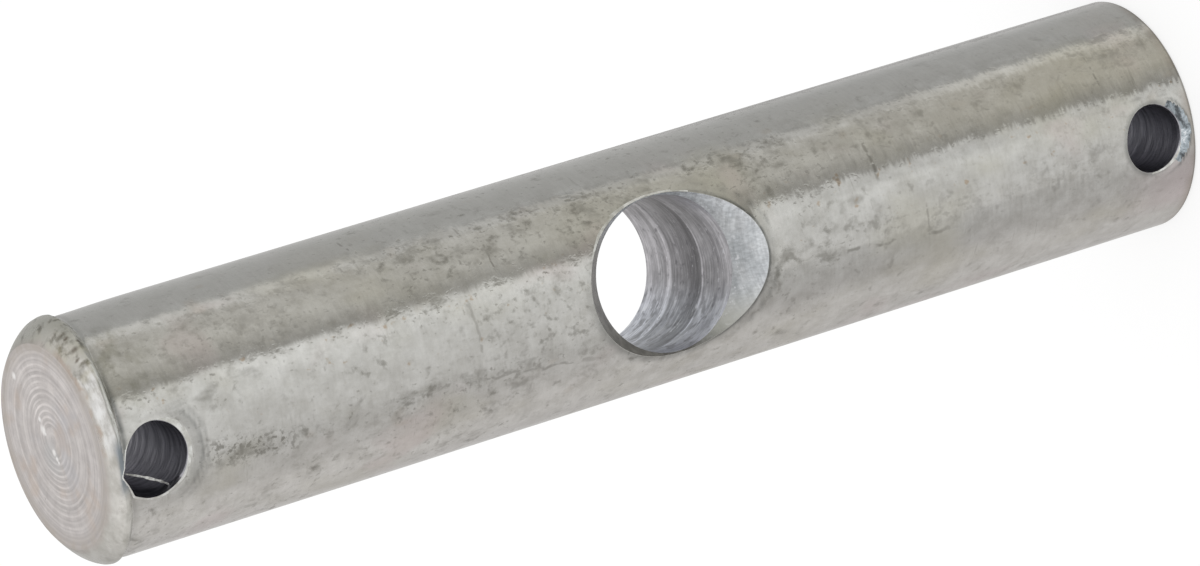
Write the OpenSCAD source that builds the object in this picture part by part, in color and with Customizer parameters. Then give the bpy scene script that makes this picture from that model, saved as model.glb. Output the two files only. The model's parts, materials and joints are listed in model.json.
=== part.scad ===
// Lever shaft: one round steel bar with a countersunk cross bore near its middle,
// a small cross hole near each end, and one end upset into a rounded lip.
// The shaft stands on its plain end. Its axis is Z and the lipped end is at the top.

/* [Bar] */
// Diameter of the bar
bar_d = 20; // [19:0.5:30]
// Length from the plain end to the turned face
bar_l = 106; // [90:1:200]
// Width of the edge break at the plain end
edge_break = 0.3; // [0.1:0.1:0.8]

/* [Lipped end] */
// Diameter of the flat turned face
face_d = 17; // [14:0.5:17.5]
// Distance from the turned face down to the crest of the lip
lip_setback = 1.7; // [1.5:0.1:3]
// Height of the lip's crest above the bar
lip_height = 0.25; // [0.1:0.05:0.4]
// Radius of the lip's rounded crest
lip_round = 1.1; // [0.8:0.1:1.2]

/* [Middle bore] */
// Diameter of the middle bore
bore_d = 13; // [6:0.5:14]
// Distance from the plain end to the bore's axis
bore_z = 52.4; // [30:0.1:70]
// Width that the front countersink adds to the bore's radius at the bar's crown
bore_flare = 2.05; // [0.2:0.05:2.4]
// Width that the back countersink adds to the bore's radius at the bar's crown
back_flare = 2.7; // [0.2:0.05:2.8]
// Full angle of the bore's countersinks
bore_flare_angle = 76; // [60:1:120]

/* [End holes] */
// Diameter of the two small cross holes
hole_d = 5.8; // [3:0.1:6.5]
// Wall between the upper hole and the turned face
upper_wall = 1; // [1:0.1:6]
// Wall between the lower hole and the plain end
lower_wall = 1.4; // [1.2:0.1:6]
// Turn of the upper hole about the bar, away from the middle bore
upper_turn = -9; // [-90:1:90]
// Turn of the lower hole about the bar, away from the middle bore
lower_turn = -6; // [-90:1:90]
// Width of the small holes' edge breaks where their mouths are narrowest
hole_break = 0.15; // [0.1:0.05:0.4]
// Full angle of the small holes' edge breaks
hole_break_angle = 90; // [60:1:120]

/* [Hidden] */
$fn = 96;
// Cutters run this far past the surface that they cut
over = 1;
bar_r = bar_d / 2;
face_r = face_d / 2;
// Straight steps in the arc of the lip's crest
crest_steps = 10;
// The crest of the lip is an arc about this point of the bar's half section
crest_r = bar_r + lip_height - lip_round;
crest_z = bar_l - lip_setback;
upper_z = bar_l - upper_wall - hole_d / 2;
lower_z = lower_wall + hole_d / 2;

// Turn at which the line from the edge of the face just touches the crest's arc
function touch_turn() =
    let (
        dr = face_r - crest_r,
        dz = bar_l - crest_z
    )
    atan2(dz, dr) - acos(lip_round / norm([dr, dz]));

// How far a mouth's sides lie below the bar's crown, for a cross hole of diameter d
function saddle_drop(d) = bar_r - sqrt(bar_r * bar_r - d * d / 4);

// Width at the crown of a small hole's edge break
hole_flare = hole_break + saddle_drop(hole_d) * tan(hole_break_angle / 2);

// Points of the crest's arc, from the bar's side up to the touching line
function crest_arc() =
    let (
        low = -acos((bar_r - crest_r) / lip_round),
        high = touch_turn()
    )
    [for (i = [0 : crest_steps])
        let (turn = low + (high - low) * i / crest_steps)
        [crest_r + lip_round * cos(turn), crest_z + lip_round * sin(turn)]];

// Half section of the bar, from its axis outwards
module bar_section() {
    polygon(concat(
        [[0, 0], [bar_r - edge_break, 0], [bar_r, edge_break]],
        crest_arc(),
        [[face_r, bar_l], [0, bar_l]]
    ));
}

// Round bar with its rounded lip, before any hole is cut
module bar() {
    rotate_extrude()
        bar_section();
}

// Cone that opens one mouth of a cross hole, along -Y from the bar's crown
module countersink(d, flare, angle) {
    slope = tan(angle / 2);
    depth = flare / slope;
    crown_r = d / 2 + flare;
    translate([0, depth - bar_r, 0])
        rotate([90, 0, 0])
            cylinder(r1 = d / 2, r2 = crown_r + over * slope, h = depth + over);
}

// Cross hole straight through the bar, with a countersink at its front and back mouth
module cross_hole(z, turn, d, front, back, angle) {
    translate([0, 0, z])
        rotate([0, 0, turn]) {
            rotate([90, 0, 0])
                cylinder(d = d, h = bar_d + 2 * over, center = true);
            countersink(d, front, angle);
            mirror([0, 1, 0])
                countersink(d, back, angle);
        }
}

module lever_shaft() {
    color([0.72, 0.72, 0.70])
        difference() {
            bar();
            cross_hole(bore_z, 0, bore_d, bore_flare, back_flare, bore_flare_angle);
            cross_hole(upper_z, upper_turn, hole_d, hole_flare, hole_flare, hole_break_angle);
            cross_hole(lower_z, lower_turn, hole_d, hole_flare, hole_flare, hole_break_angle);
        }
}

lever_shaft();
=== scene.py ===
# Lever shaft: a round plated steel bar that stands on its plain end.
# The bar is one closed shell: its side, its bores, its turned face and its sawn end
# are made ring by ring. A small burr is a second one in the same mesh. Both are made in
# millimetres, and the mesh is written in metres.
import json
import math

import bpy
import numpy as np
from mathutils import Matrix, Vector


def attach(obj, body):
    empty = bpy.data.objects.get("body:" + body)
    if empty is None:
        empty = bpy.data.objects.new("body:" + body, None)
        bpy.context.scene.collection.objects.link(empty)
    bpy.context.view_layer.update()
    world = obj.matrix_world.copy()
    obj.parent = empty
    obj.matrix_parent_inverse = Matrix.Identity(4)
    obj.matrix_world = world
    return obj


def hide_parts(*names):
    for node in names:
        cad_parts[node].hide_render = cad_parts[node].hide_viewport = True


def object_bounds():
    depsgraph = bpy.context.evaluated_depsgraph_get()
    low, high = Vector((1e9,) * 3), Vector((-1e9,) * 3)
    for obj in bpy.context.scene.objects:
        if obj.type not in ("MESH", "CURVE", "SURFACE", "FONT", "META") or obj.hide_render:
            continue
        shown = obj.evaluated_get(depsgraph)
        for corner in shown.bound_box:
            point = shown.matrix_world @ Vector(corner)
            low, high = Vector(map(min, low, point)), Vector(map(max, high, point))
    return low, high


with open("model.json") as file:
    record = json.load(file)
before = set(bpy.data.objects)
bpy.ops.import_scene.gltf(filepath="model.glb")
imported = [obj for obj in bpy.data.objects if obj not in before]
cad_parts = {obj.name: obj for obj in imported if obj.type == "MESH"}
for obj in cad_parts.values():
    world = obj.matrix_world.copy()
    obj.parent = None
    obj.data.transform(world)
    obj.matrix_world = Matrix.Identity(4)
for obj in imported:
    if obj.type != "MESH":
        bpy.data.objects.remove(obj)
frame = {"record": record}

cad_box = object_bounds()
MM = 0.001

# Sizes in millimetres. The bar's and the holes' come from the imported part.
mounts = {m["name"]: m for m in frame["record"]["mounts"]}
BAR_R = mounts["shaft_body"]["dims"]["r_mm"]
BAR_L = cad_box[1].z / MM
FACE_R = 8.5
EDGE_BREAK = 0.2
UP = np.array([0.0, 0.0, 1.0])

# The photograph's camera, found from the outlines of the bar and its holes
CAMERA_AZIMUTH = 10.03
CAMERA_ELEVATION = 28.98
CAMERA_ROLL = -107.25
CAMERA_DISTANCE = 604.5
CAMERA_TARGET_Z = 53.0
CAMERA_LENS = 219.3
CAMERA_SHIFT = (-0.0106, -0.0081)

# Grid of the bar's side: turn of each column in degrees
COLUMNS = 240
COLUMN_DEG = 360.0 / COLUMNS
COLUMN_TURNS = -180.0 + COLUMN_DEG * np.arange(COLUMNS)
# Edges that turn by more degrees than this are shaded sharp
SHARP_DEG = 32.0
# Steps in which a mouth's edge is found
MOUTH_TRIES = 80

# Finishes of the mesh's faces, in the order of the material slots
FINISHES = [
    "drawn_bar", "lip", "turned_face", "sawn_end", "bore_wall",
    "bore_flare", "hole_wall", "hole_rim", "far_dish", "burr",
]
SLOT = {name: i for i, name in enumerate(FINISHES)}


def smooth(x, low, high):
    """0 below low, 1 above high, and an S curve between."""
    t = np.clip((x - low) / (high - low), 0.0, 1.0)
    return t * t * (3.0 - 2.0 * t)


def hump(x, centre, width):
    """A soft bump of height 1 about centre."""
    return np.exp(-((x - centre) / width) ** 2)


def turn_between(a, b):
    """The turn from b to a in degrees, from -180 to 180."""
    return (a - b + 180.0) % 360.0 - 180.0


def turn_hump(a, centre, width):
    """A soft bump of height 1 about the turn centre, in degrees."""
    return hump(turn_between(a, centre), 0.0, width)


def wander(x, seed, count=5, octaves=3):
    """A smooth random curve over the whole turn x in degrees, about -1 to 1."""
    rng = np.random.default_rng(seed)
    total = np.zeros_like(np.asarray(x, float))
    for k in range(octaves):
        for n in range(1, count + 1):
            order = n + k * count
            phase = rng.uniform(0.0, 2.0 * math.pi)
            size = rng.normal() / (1.0 + 1.3 * k) / math.sqrt(count)
            total = total + size * np.sin(np.radians(x) * order + phase)
    return total * 0.6


def ripple(x, seed, low, high, count=40):
    """A random curve along x with waves of low to high length, about -1 to 1."""
    rng = np.random.default_rng(seed)
    total = np.zeros_like(np.asarray(x, float))
    for _ in range(count):
        wave = math.exp(rng.uniform(math.log(low), math.log(high)))
        total = total + np.sin(2.0 * math.pi * x / wave + rng.uniform(0.0, 6.28))
    return total / math.sqrt(count)


class Cone:
    """One mouth of a cross hole: a cone that opens the bore towards the bar's crown."""

    def __init__(self, flare, slope, shift_across=0.0, shift_up=0.0):
        self.flare = flare
        self.slope = slope
        self.across = shift_across
        self.up = shift_up

    def radius(self, theta, depth, bore_r):
        """Distance from the hole's axis to the cone, at each angle about that axis."""
        size = bore_r + self.flare - self.slope * (BAR_R - depth)
        along = self.across * np.cos(theta) + self.up * np.sin(theta)
        off = self.across * np.sin(theta) - self.up * np.cos(theta)
        return along + np.sqrt(np.maximum(size * size - off * off, 0.0))

    def inner_depth(self, theta, bore_r):
        """Depth at which the cone meets the bore."""
        du = bore_r * np.cos(theta) - self.across
        dz = bore_r * np.sin(theta) - self.up
        return BAR_R - (bore_r + self.flare - np.hypot(du, dz)) / self.slope


class Dish:
    """A shallow hollow in the bar's skin, pressed or cut beside a small hole."""

    def __init__(self, turn, z, radius, slope):
        self.turn = turn
        self.z = z
        self.radius = radius
        self.slope = slope

    def distance(self, a, z):
        """Distance from the dish's middle along the skin, and far for the bar's other half."""
        u = BAR_R * np.sin(np.radians(turn_between(a, self.turn)))
        far = np.abs(turn_between(a, self.turn)) > 90.0
        return np.where(far, 99.0, np.hypot(u, z - self.z))

    def depth(self, a, z):
        """How far the dish goes below the skin."""
        d = self.radius - self.distance(a, z)
        # a rounded start, so that the dish has a soft border
        return np.where(d > 0.0, d * d / (d + 0.12), 0.0) / self.slope


class Hole:
    """A cross hole through the bar's axis, in a rectangle of the side's grid.

    The rectangle runs from z_low to z_high and spans half_columns to each side.
    """

    def __init__(self, mount, front, back, half_columns, z_low, z_high):
        self.z = mount["pos_m"][2] / MM
        x, y, _ = mount["axis"]
        self.turn = round(math.degrees(math.atan2(x, -y)), 3)
        self.r = mount["dims"]["r_mm"]
        self.cones = {1: front, -1: back}
        self.half_columns = half_columns
        self.z_low = z_low
        self.z_high = z_high

    def axes(self):
        """The directions out of the front mouth and across it."""
        t = math.radians(self.turn)
        out = np.array([math.sin(t), -math.cos(t), 0.0])
        across = np.array([math.cos(t), math.sin(t), 0.0])
        return out, across

    def base(self, side):
        """Turn of the front mouth, side 1, or of the back one, side -1."""
        return self.turn + (0.0 if side > 0 else 180.0)

    def point(self, theta, rho, depth):
        """Points at angle theta and radius rho about the hole's axis, depth along it."""
        out, across = self.axes()
        u = rho * np.cos(theta)
        z = self.z + rho * np.sin(theta)
        return out * depth[:, None] + across * u[:, None] + UP * z[:, None]

    def rows(self, z_rows):
        """Numbers of the grid's rows at the low and high side of the rectangle."""
        return [int(np.argmin(abs(z_rows - z))) for z in (self.z_low, self.z_high)]

    def mouth(self, theta, side, swell):
        """Radius about the hole's axis, and depth along it, of the mouth at each angle."""
        cone = self.cones[side]
        rho = np.full_like(theta, self.r + cone.flare)
        depth = np.full_like(theta, BAR_R * 0.9)
        # each step brings the edge closer to where the cone meets the skin
        for _ in range(MOUTH_TRIES):
            u = rho * np.cos(theta)
            a = self.base(side) + side * np.degrees(np.arctan2(u, depth))
            skin = skin_radius(a, self.z + rho * np.sin(theta))
            depth = np.sqrt(np.maximum(skin * skin - u * u, 1.0))
            wanted = np.maximum(self.r, cone.radius(theta, depth, self.r)) + swell
            rho = 0.5 * rho + 0.5 * wanted
        return rho, depth


# Mouths of the middle bore, whose back one is a little off centre, and of the small holes.
# The slope is that of a 76 degree countersink.
BORE_SLOPE = 0.7813
BORE_FRONT = Cone(2.05, BORE_SLOPE)
BORE_BACK = Cone(2.8, BORE_SLOPE, -0.45, 0.12)
SMALL_FRONT = Cone(0.06, 0.5)
SMALL_BACK = Cone(0.58, 1.0)

HOLES = {
    "middle": Hole(mounts["middle_bore"], BORE_FRONT, BORE_BACK, 34, 42.6, 62.2),
    "upper": Hole(mounts["upper_hole"], SMALL_FRONT, SMALL_BACK, 18, 97.4, 105.85),
    "lower": Hole(mounts["lower_hole"], SMALL_FRONT, SMALL_BACK, 18, 0.3, 8.9),
}
# Hollows pressed round the upper hole and cut beside the lower one
UPPER_DISH = Dish(HOLES["upper"].turn, HOLES["upper"].z - 0.60, 3.55, 3.4)
LOWER_DISH = Dish(HOLES["lower"].turn - 0.5, HOLES["lower"].z - 0.50, 3.28, 2.3)

# The lipped end. Turns are about the bar's axis from the middle bore's front, in degrees.
LIP_HEIGHT = 0.25
# Distance from the face to the groove behind the lip at the bar's sides, and how much
# less it is at the front and more at the back
LIP_DOWN = 2.65
LIP_DOWN_FRONT = 1.45
LIP_DOWN_BACK = 0.5


def lip_foot(a):
    """Distance from the turned face down to the groove behind the lip."""
    c = np.cos(np.radians(a))
    base = LIP_DOWN - np.where(c > 0, LIP_DOWN_FRONT, LIP_DOWN_BACK) * c
    flat = 0.35 * turn_hump(a, -11.0, 13.0)
    return base - flat + 0.10 * wander(a, 11, 4, 2)


def skin_radius(a, z):
    """Radius of the bar's side at turn a and height z."""
    a = np.asarray(a, float)
    z = np.asarray(z, float)
    down = BAR_L - z
    foot = lip_foot(a)
    crest = foot - 0.42
    front = turn_hump(a, -12.0, 16.0)
    high = LIP_HEIGHT * (1.0 - 0.75 * front) + 0.05 * wander(a, 12, 5, 2)
    side = BAR_R + high * (1.0 - smooth(down, crest, foot + 0.12))
    fading = 0.6 * turn_hump(a, 52.0, 22.0)
    groove = 0.15 * hump(down, foot + 0.26, 0.26) * (1.0 - 0.6 * front) * (1.0 - fading)
    neck = 0.10 * hump(down, foot + 1.0, 3.0) * smooth(np.cos(np.radians(a - 95.0)), -0.2, 1.0)
    # from the crest to the edge of the turned face
    t = np.clip((crest - down) / crest, 0.0, 1.0)
    top = BAR_R + high
    bevel = FACE_R + (top - FACE_R) * (1.0 - t ** 1.9)
    # shallow creases that run round the lip
    on_lip = smooth(down, -0.1, 0.35) * (1.0 - smooth(down, foot - 0.2, foot + 0.1))
    on_lip = on_lip * (0.25 + 0.75 * turn_hump(a, 22.0, 32.0))
    crease = 0.022 * ripple(down + 0.10 * wander(a, 14, 6, 3), 15, 0.45, 1.2) * on_lip
    r = np.where(down < crest, bevel, side - groove - neck) + crease
    r = r - UPPER_DISH.depth(a, z) - LOWER_DISH.depth(a, z)
    # the plain end's broken edge
    low = np.clip((EDGE_BREAK - z) / EDGE_BREAK, 0.0, 1.0)
    return r - EDGE_BREAK * low


def skin_point(a, z, lift=0.0):
    """Points of the bar's side at turns a and heights z, raised by lift."""
    r = skin_radius(a, z) + lift
    t = np.radians(a)
    return np.stack([r * np.sin(t), -r * np.cos(t), np.broadcast_to(z, r.shape)], -1)


def rows_of_side():
    """Heights of the grid's rows, from the plain end to the turned face."""
    low = [0.0, 0.07, 0.14, EDGE_BREAK]
    middle = list(np.linspace(EDGE_BREAK + 0.7, 97.0, 97))
    upper = list(np.arange(97.3, 102.2, 0.45))
    lip = list(np.arange(102.3, BAR_L - 0.06, 0.135))
    return np.array(low + middle + upper + lip + [BAR_L])


class Sheet:
    """Collects vertices, quads and the finish of each quad."""

    def __init__(self):
        self.points = []
        self.soil = []
        self.count = 0
        self.faces = []
        self.finish = []

    def add(self, points, soil=0.0):
        """Adds vertices with their dirt and painted shade, and gives their numbers."""
        points = np.asarray(points, float).reshape(-1, 3)
        first = self.count
        self.points.append(points)
        self.soil.append(np.broadcast_to(soil, (len(points),)))
        self.count += len(points)
        return np.arange(first, self.count)

    def quads(self, quads, finish):
        self.faces.append(quads)
        self.finish.append(np.broadcast_to(np.asarray(finish), (len(quads),)))

    def band(self, ring_a, ring_b, finish):
        """Quads between two closed rings of the same length."""
        self.quads(np.stack([ring_a, np.roll(ring_a, -1), np.roll(ring_b, -1), ring_b], -1), finish)

    def close(self, ring, centre, finish):
        """Triangles from a ring to one centre point: quads whose last number is -1."""
        mid = self.add([centre])[0]
        last = np.full(len(ring), mid)
        self.quads(np.stack([ring, np.roll(ring, -1), last, np.full(len(ring), -1)], -1), finish)


def column_of(a):
    """Number of the grid's column at turn a."""
    return int(round((a + 180.0) / COLUMN_DEG))


def add_side(sheet, z_rows):
    """The bar's side without a rectangle round each mouth, and the grid's vertex numbers."""
    used = np.ones((COLUMNS, len(z_rows)), bool)
    cells = np.ones((COLUMNS, len(z_rows) - 1), bool)
    for hole in HOLES.values():
        j0, j1 = hole.rows(z_rows)
        for side in (1, -1):
            centre = column_of(hole.base(side))
            n = hole.half_columns
            inner = [(centre + i) % COLUMNS for i in range(-n + 1, n)]
            used[np.ix_(inner, range(j0 + 1, j1))] = False
            inner = [(centre + i) % COLUMNS for i in range(-n, n)]
            cells[np.ix_(inner, range(j0, j1))] = False
    grid = np.full(used.shape, -1)
    ii, jj = np.nonzero(used)
    a, z = COLUMN_TURNS[ii], z_rows[jj]
    grid[ii, jj] = sheet.add(skin_point(a, z), groove_shade(a, z))
    ci, cj = np.nonzero(cells)
    c2 = (ci + 1) % COLUMNS
    quads = np.stack([grid[ci, cj], grid[c2, cj], grid[c2, cj + 1], grid[ci, cj + 1]], -1)
    middle_z = 0.5 * (z_rows[cj] + z_rows[cj + 1])
    sheet.quads(quads, finish_of_skin(COLUMN_TURNS[ci], middle_z))
    return grid


def groove_shade(a, z):
    """Painted shade in the groove behind the lip, most of it on the upper front."""
    off = BAR_L - z - lip_foot(a)
    share = 0.22 + 0.78 * turn_hump(a, 10.0, 25.0) + 0.12 * wander(a, 17, 6, 3)
    return np.clip(hump(off, 0.26, 0.25) * share, 0.0, 1.0)


def finish_of_skin(a, z):
    """Lip above the groove, drawn bar below it."""
    return np.where(BAR_L - z < lip_foot(a) + 0.10, SLOT["lip"], SLOT["drawn_bar"])


def patch_border(grid, z_rows, hole, side):
    """Vertex numbers, turns from the hole's axis and heights round a mouth's rectangle."""
    j0, j1 = hole.rows(z_rows)
    n = hole.half_columns
    walk = [(i, j0) for i in range(-n, n)]
    walk += [(n, j) for j in range(j0, j1)]
    walk += [(i, j1) for i in range(n, -n, -1)]
    walk += [(-n, j) for j in range(j1, j0, -1)]
    centre = column_of(hole.base(side))
    columns = [(centre + side * i) % COLUMNS for i, _ in walk]
    ids = np.array([grid[c, j] for c, (_, j) in zip(columns, walk)])
    turns = turn_between(COLUMN_TURNS[columns], hole.base(side))
    heights = np.array([z_rows[j] for _, j in walk])
    return ids, turns, heights


# Radius of the upper hole's chipped mouth at angles about its axis, 90 towards the face
CHIPPED = [
    (-180, 3.26), (-159, 3.16), (-120, 3.02), (-90, 2.97), (-50, 2.98), (-17, 3.04), (20, 3.00),
    (50, 2.90), (75, 2.82), (90, 2.90), (101, 3.27), (110, 3.20), (120, 3.17), (130, 3.26),
    (139, 3.46), (150, 3.36), (172, 3.28), (180, 3.26),
]


def window(degrees, low, high, soft):
    """1 for angles from low to high and 0 outside, with soft borders."""
    middle = 0.5 * (low + high)
    off = np.abs(turn_between(degrees, middle))
    return 1.0 - smooth(off, 0.5 * (high - low) - soft, 0.5 * (high - low) + soft)


def rim_shape(name, side, theta):
    """Swell of a mouth's radius, lift of its rim, and the lift's width, at each angle."""
    degrees = np.degrees(theta)
    if name == "middle":
        lift = 0.03 + 0.012 * wander(degrees, 21, 6, 3) + 0.03 * window(degrees, -130.0, -40.0, 20.0)
        return 0.02 * wander(degrees, 22, 7, 3), lift, 0.30
    swell = 0.02 * wander(degrees, 23, 5, 3)
    if side < 0:
        return swell, 0.02 + 0.0 * theta, 0.2
    if name == "upper":
        turns, radii = zip(*CHIPPED)
        swell = np.interp(turn_between(degrees, 0.0), turns, radii) - HOLES["upper"].r - SMALL_FRONT.flare
        thick = 0.07 * turn_hump(degrees, -136.0, 14.0)
        return swell, 0.06 + thick + 0.02 * wander(degrees, 24, 6, 2), 0.16
    top = turn_hump(degrees, 90.0, 50.0)
    return swell + 0.06 - 0.12 * top, 0.03 + 0.015 * wander(degrees, 25, 6, 2), 0.18


def rim_width(name, theta):
    """Width of the pale rim outside a mouth at each angle: a painted highlight along the mouth's edge."""
    degrees = np.degrees(theta)
    if name == "upper":
        low = 0.13 * (1.0 - window(degrees, -30.0, 135.0, 12.0))
        left = 0.08 * window(degrees, 55.0, 135.0, 12.0)
        right = 0.22 * window(degrees, -112.0, -28.0, 20.0)
        return low + left + right + 0.10 * turn_hump(degrees, -136.0, 16.0)
    if name == "lower":
        return 0.13 * window(degrees, -190.0, -120.0, 15.0)
    return 0.15 * window(degrees, -25.0, 60.0, 12.0)


def mouth_shade_and_dirt(name, theta, distance):
    """Dull rings outside a mouth, at each angle and distance from it: partly dirt, partly painted shade
    beside the raised rims and the dish's border and in a soft halo on one side.
    """
    degrees = np.degrees(theta)
    right = window(degrees, -150.0, -35.0, 25.0)
    if name == "middle":
        line = 0.95 * hump(distance, 0.10, 0.13) + 0.42 * hump(distance, 1.05, 0.16)
        ring = 0.22 * (1.0 - smooth(distance, 0.5, 1.0))
        left = window(degrees, 90.0, 275.0, 35.0) * (1.0 - smooth(distance, 0.0, 0.9))
        return right * (line + ring) + 0.62 * (1.0 - right) * left
    if name == "upper":
        arc = 0.55 * hump(distance, 1.25, 0.16) + 0.35 * hump(distance, 1.75, 0.2)
        ring = 0.30 * smooth(distance, 0.35, 0.6) * (1.0 - smooth(distance, 1.0, 1.4))
        return right * (arc + ring)
    line = 0.9 * hump(distance, 0.84, 0.10) * right
    return line + 0.60 * (1.0 - right) * (1.0 - smooth(distance, 0.05, 0.5))


def mouth_finish(name, theta, share):
    """Finish of the bands just inside a front mouth, at each angle."""
    degrees = np.degrees(theta)
    if name == "middle":
        # painted highlight: the pale rim finish along part of the middle bore's mouth
        pale = (window(degrees, -35.0, 70.0, 1.0) > 0.5) & (share < 0.1)
        return np.where(pale, SLOT["hole_rim"], SLOT["bore_flare"])
    return np.full(theta.shape, SLOT["hole_wall"])


# Feed marks reach this far from the middle of the bore
BORE_HALF = 7.3


def wall_radius(name, hole, theta, depth):
    """Radius of a hole's wall with its feed marks."""
    if name == "middle":
        slant = depth + 0.10 * np.cos(theta + 0.8)
        marks = 0.009 * ripple(slant, 31, 0.45, 1.6, 30) + 0.012 * ripple(slant, 32, 1.5, 4.0, 6)
        return hole.r + marks * smooth(BORE_HALF - np.abs(depth), -0.2, 0.8)
    return hole.r + 0.008 * ripple(depth, 33, 0.5, 1.2, 12)


def wall_steps(name):
    """Shares of the way from a hole's front to its back, closer together at the front."""
    if name == "middle":
        return np.linspace(0.0, 1.0, 112)[1:-1]
    near = np.linspace(0.0, 0.10, 9)
    return np.concatenate([near, np.linspace(0.10, 1.0, 32)[1:]])[1:-1]


# Rings of skin outside each mouth, and how strongly they crowd towards it
MOUTH_RINGS = {"middle": (9, 2.0), "upper": (13, 1.7), "lower": (13, 1.7)}
# Rings inside the mouths, as shares of the way from the edge to the plain wall
FRONT_SHARES = {
    "middle": [0.04, 0.09, 0.25, 0.4, 0.55, 0.7, 0.85, 0.94, 1.0],
    "upper": [0.4, 0.75, 1.0],
    "lower": [0.4, 0.75, 1.0],
}
BACK_SHARES = [0.3, 0.6, 0.9, 0.96]
# A mouth reaches at least this far into its hole
LEAST_MOUTH = 0.05


def hole_angles(grid, z_rows, hole):
    """Angle about the hole's axis of each vertex of its rectangle."""
    _, turns, heights = patch_border(grid, z_rows, hole, 1)
    return np.arctan2(heights - hole.z, BAR_R * np.sin(np.radians(turns)))


def skin_near_mouth(name, side, thetas, a, z, distance):
    """Dirt, painted shade and finish of the skin at a distance from a mouth."""
    soil = groove_shade(a, z)
    finish = finish_of_skin(a, z)
    if side < 0:
        return soil, finish
    soil = np.clip(soil + mouth_shade_and_dirt(name, thetas, distance), 0.0, 1.0)
    if name == "lower":
        torn = LOWER_DISH.distance(a, z) < LOWER_DISH.radius - 0.05
        torn = torn & (window(np.degrees(thetas), -143.0, -40.0, 1.0) > 0.5)
        finish = np.where(torn, SLOT["far_dish"], finish)
    return soil, np.where(distance < rim_width(name, thetas), SLOT["hole_rim"], finish)


def add_mouth(sheet, grid, z_rows, name, side, thetas):
    """Rings of skin from the rectangle to a mouth, and the radius and depth of its edge."""
    hole = HOLES[name]
    ids, turns, heights = patch_border(grid, z_rows, hole, side)
    swell, lift, width = rim_shape(name, side, thetas)
    rho, depth = hole.mouth(thetas, side, swell)
    mouth_turns = side * np.degrees(np.arctan2(rho * np.cos(thetas), depth))
    mouth_z = hole.z + rho * np.sin(thetas)
    gap = np.hypot(np.radians(turns - mouth_turns) * BAR_R, heights - mouth_z)
    steps, power = MOUTH_RINGS[name]
    rings = [(ids, None)]
    for k in range(1, steps):
        t = 1.0 - (1.0 - k / steps) ** power
        a = hole.base(side) + turns + (mouth_turns - turns) * t
        z = heights + (mouth_z - heights) * t
        distance = (1.0 - t) * gap
        points = skin_point(a, z, lift * hump(distance, 0.0, width))
        soil, finish = skin_near_mouth(name, side, thetas, a, z, distance)
        rings.append((sheet.add(points, soil), finish))
    r_mouth = np.hypot(rho * np.cos(thetas), depth) + lift
    depth = np.sqrt(r_mouth ** 2 - (rho * np.cos(thetas)) ** 2)
    return rings, rho, depth


def wall_rings(name, thetas, front_edge, back_edge):
    """Radius, depth and finish of the rings between a hole's two edges, from front to back."""
    hole = HOLES[name]
    rho_f, depth_f = front_edge
    rho_b, depth_b = back_edge
    low_f = np.minimum(hole.cones[1].inner_depth(thetas, hole.r), depth_f - LEAST_MOUTH)
    low_b = np.minimum(hole.cones[-1].inner_depth(thetas, hole.r), depth_b - LEAST_MOUTH)
    if name == "upper":
        # the chip in the mouth goes deep into the wall
        chip = 6.0 * np.maximum(rho_f - hole.r - 0.1, 0.0)
        low_f = np.minimum(low_f, depth_f - LEAST_MOUTH - chip)
    start = wall_radius(name, hole, thetas, low_f)
    end = wall_radius(name, hole, thetas, -low_b)
    flare = SLOT["bore_flare"] if name == "middle" else SLOT["hole_wall"]
    wall = SLOT["bore_wall"] if name == "middle" else SLOT["hole_wall"]
    rings = []
    for share in FRONT_SHARES[name]:
        depth = depth_f + (low_f - depth_f) * share
        rings.append((rho_f + (start - rho_f) * share, depth, mouth_finish(name, thetas, share)))
    for share in wall_steps(name):
        depth = low_f + (-low_b - low_f) * share
        rings.append((wall_radius(name, hole, thetas, depth), depth, wall))
    rings.append((end, -low_b, wall))
    for share in BACK_SHARES:
        depth = -(low_b + (depth_b - low_b) * share)
        rings.append((end + (rho_b - end) * share, depth, flare))
    rings.append((rho_b, -depth_b, flare))
    return rings


def add_cross_hole(sheet, grid, z_rows, name):
    """One hole: rings from the front rectangle through the hole to the back rectangle."""
    hole = HOLES[name]
    thetas = hole_angles(grid, z_rows, hole)
    front, rho_f, depth_f = add_mouth(sheet, grid, z_rows, name, 1, thetas)
    back, rho_b, depth_b = add_mouth(sheet, grid, z_rows, name, -1, thetas)
    chain = list(front)
    chain.append((sheet.add(hole.point(thetas, rho_f, depth_f)), front[-1][1]))
    for rho, depth, finish in wall_rings(name, thetas, (rho_f, depth_f), (rho_b, depth_b)):
        chain.append((sheet.add(hole.point(thetas, rho, depth)), finish))
    # a ring carries the finish of the band before it, so the back's finishes move by one
    for k in range(len(back) - 1, -1, -1):
        outer = min(k + 1, len(back) - 1)
        chain.append((back[k][0], back[outer][1]))
    for (ring_a, _), (ring_b, finish) in zip(chain, chain[1:]):
        sheet.band(ring_a, ring_b, finish)


# A burr inside the upper hole's mouth: place across, place along the bar, and depth
SLIVER = [(-0.43, 3.02, 9.90), (-1.25, 1.25, 9.60), (-2.20, -0.46, 9.25), (-2.90, -1.45, 8.85)]
SLIVER_RINGS = 16
# Half its width at the middle, and how far it stands out from its spine and in
SLIVER_HALF = 0.10
SLIVER_OUT = 0.05
SLIVER_IN = 0.12


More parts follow.
